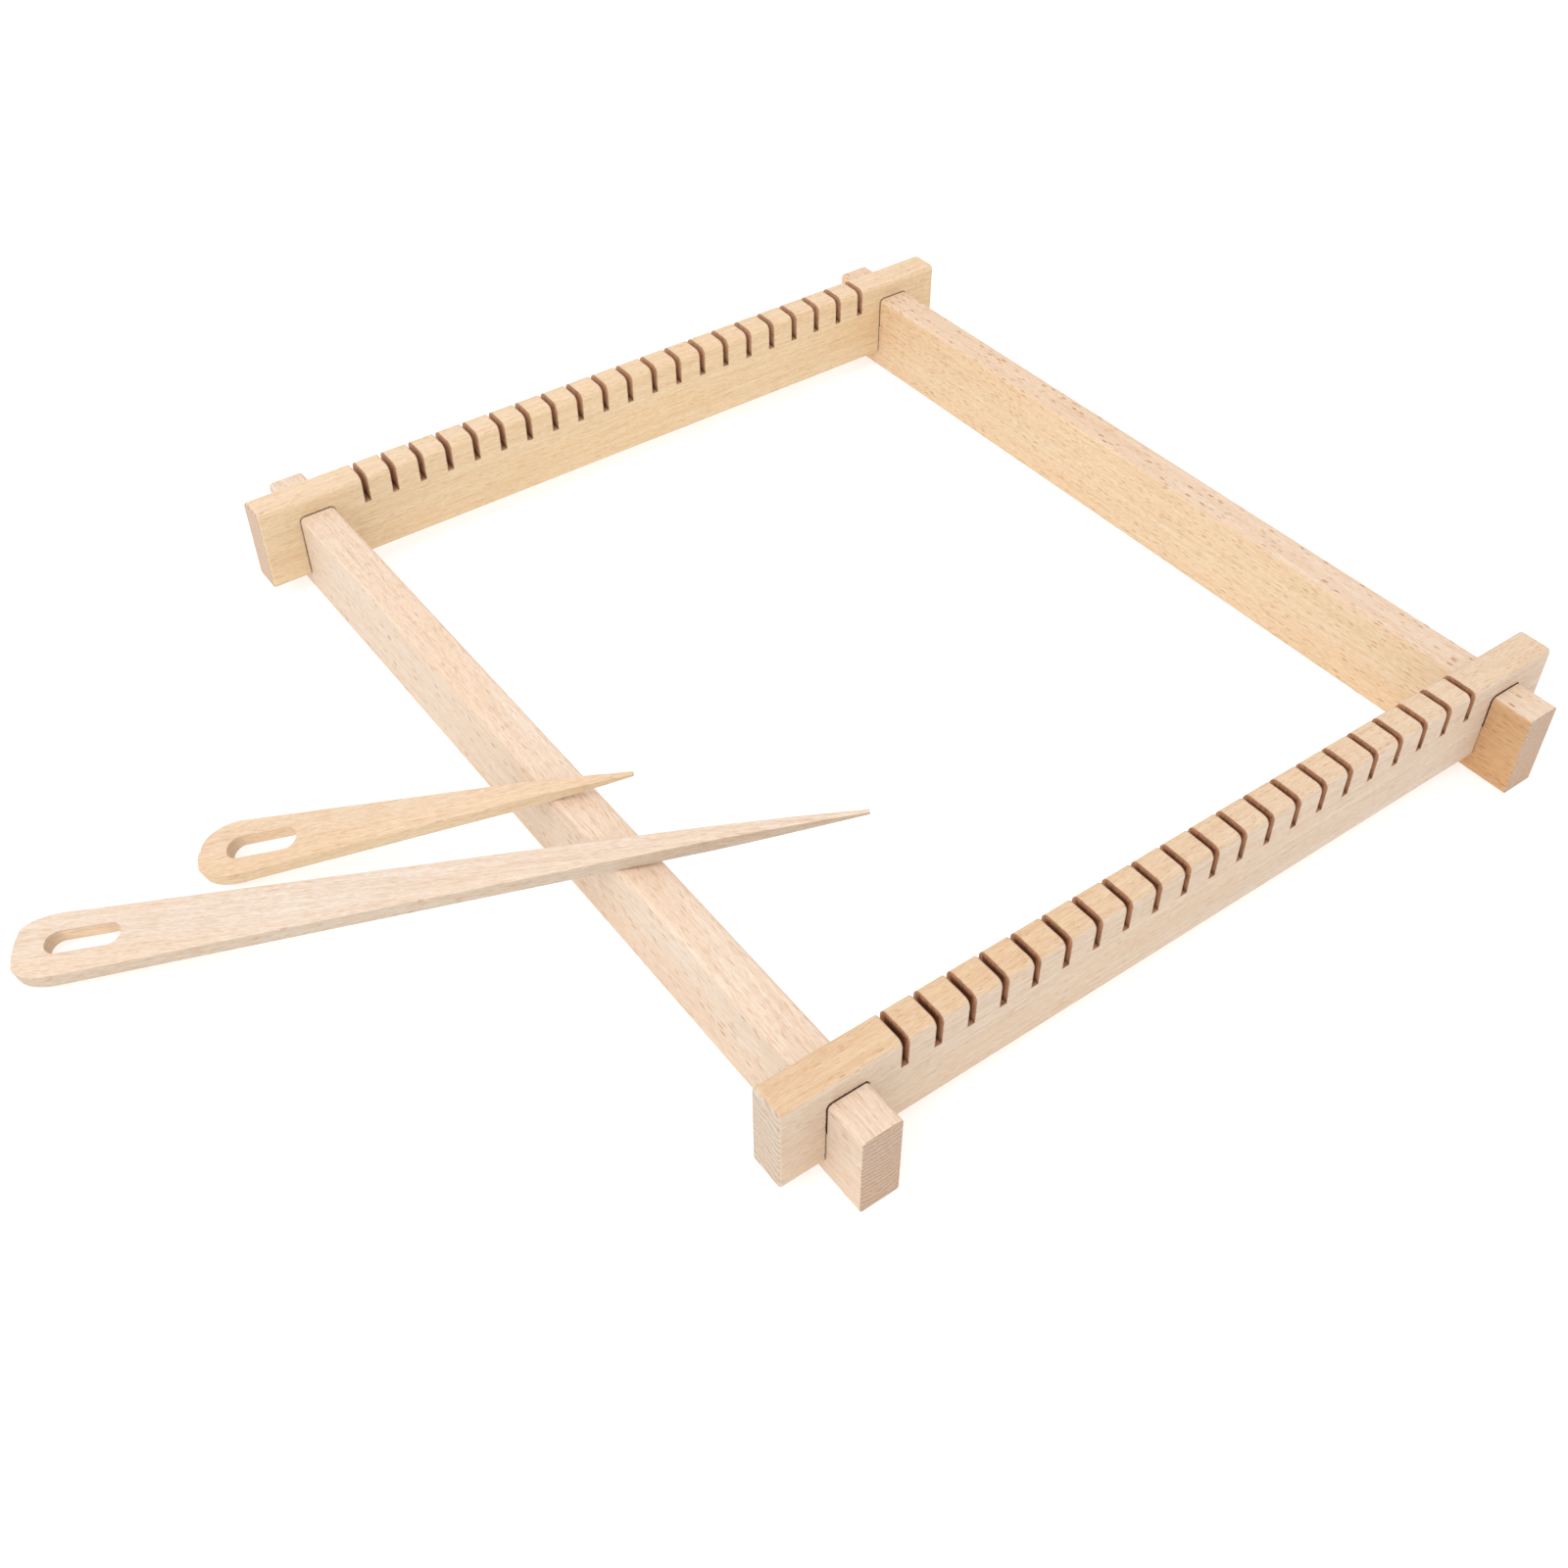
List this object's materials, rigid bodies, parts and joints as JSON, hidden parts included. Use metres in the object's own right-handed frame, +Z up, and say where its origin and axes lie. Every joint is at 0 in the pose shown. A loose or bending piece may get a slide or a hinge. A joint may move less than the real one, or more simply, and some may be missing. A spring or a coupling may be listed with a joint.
{
  "type": "frame loom with weaving needles",
  "caption": "Flat wooden frame loom: slotted bars lie across plain rails in open halving joints, and flat eyed weaving needles lean on the frame.",
  "frame": {"origin": "bottom centre of the whole group, on the table", "axes": "+X along the slotted bars towards the right rail, +Y along the rails away from the near bar, +Z up"},
  "size_m": [0.3924, 0.313, 0.0423],
  "materials": {
    "beech_rail": "bare sanded beech",
    "beech_bar": "bare sanded beech with scorched saw cuts",
    "beech_needle": "smooth sanded beech"
  },
  "bodies": {
    "rails": {"left_rail": "beech_rail", "right_rail": "beech_rail"},
    "near_bar": {"near_bar": "beech_bar"},
    "far_bar": {"far_bar": "beech_bar"},
    "long_needle": {"long_needle": "beech_needle"},
    "short_needle": {"short_needle": "beech_needle"}
  },
  "joints": [
    {"name": "near_bar_lift", "type": "slide", "parent": "rails", "child": "near_bar", "axis": [0, 0, 1], "range_m": [0, 0.06]},
    {"name": "far_bar_lift", "type": "slide", "parent": "rails", "child": "far_bar", "axis": [0, 0, 1], "range_m": [0, 0.06]},
    {"name": "long_needle_lift", "type": "slide", "parent": "rails", "child": "long_needle", "axis": [0, 0, 1], "range_m": [0, 0.06]},
    {"name": "short_needle_lift", "type": "slide", "parent": "rails", "child": "short_needle", "axis": [0, 0, 1], "range_m": [0, 0.06]}
  ]
}
